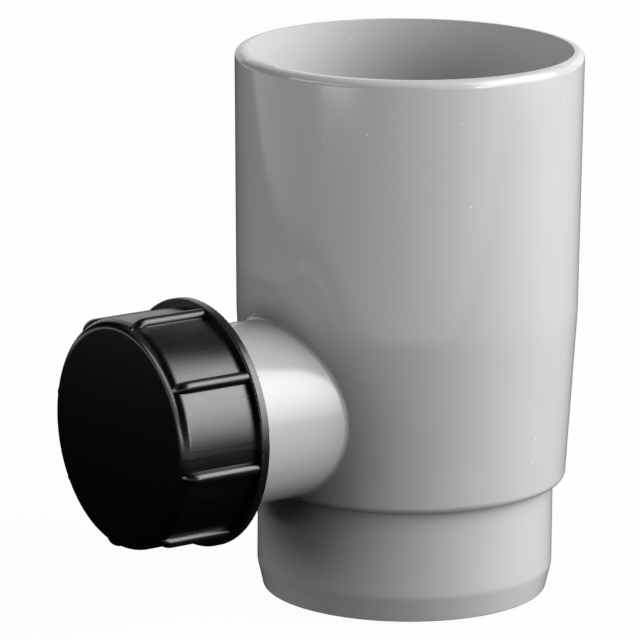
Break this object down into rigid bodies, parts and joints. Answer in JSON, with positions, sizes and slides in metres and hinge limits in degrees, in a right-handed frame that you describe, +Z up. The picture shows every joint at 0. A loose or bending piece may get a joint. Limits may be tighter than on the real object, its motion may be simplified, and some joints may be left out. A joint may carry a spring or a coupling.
{
  "type": "rainwater diverter",
  "caption": "Moulded rainwater diverter for a round downpipe: a long socket, a tapered chamber, a stepped spigot and a threaded side branch closed by a ribbed screw cap.",
  "frame": {"origin": "centre of the spigot's lower end, on the pipe's axis", "axes": "+Z up the downpipe's axis, out of the socket; -Y out along the side branch, through the cap"},
  "size_m": [0.0862, 0.1297, 0.1365],
  "materials": {
    "grey_pvc": "smooth moulded, softly glossy",
    "black_polypropylene": "moulded satin",
    "black_rubber": "dull cut sheet"
  },
  "bodies": {
    "diverter": {"diverter_body": "grey_pvc"},
    "seal": {"sealing_ring": "black_rubber"},
    "cap": {"screw_cap": "black_polypropylene"}
  },
  "joints": [
    {"name": "cap_advance", "type": "slide", "parent": "diverter", "child": "seal", "axis": [0, -1, 0], "range_m": [0, 0.0128]},
    {"name": "cap_turn", "type": "hinge", "parent": "seal", "child": "cap", "pos_m": [0, -0.0825, 0.05102], "axis": [0, -1, 0], "range_deg": [0, 1980]}
  ],
  "couplings": [
    {"joint": "cap_advance", "follows": "cap_turn", "m_per_rad": 0.00036749}
  ]
}
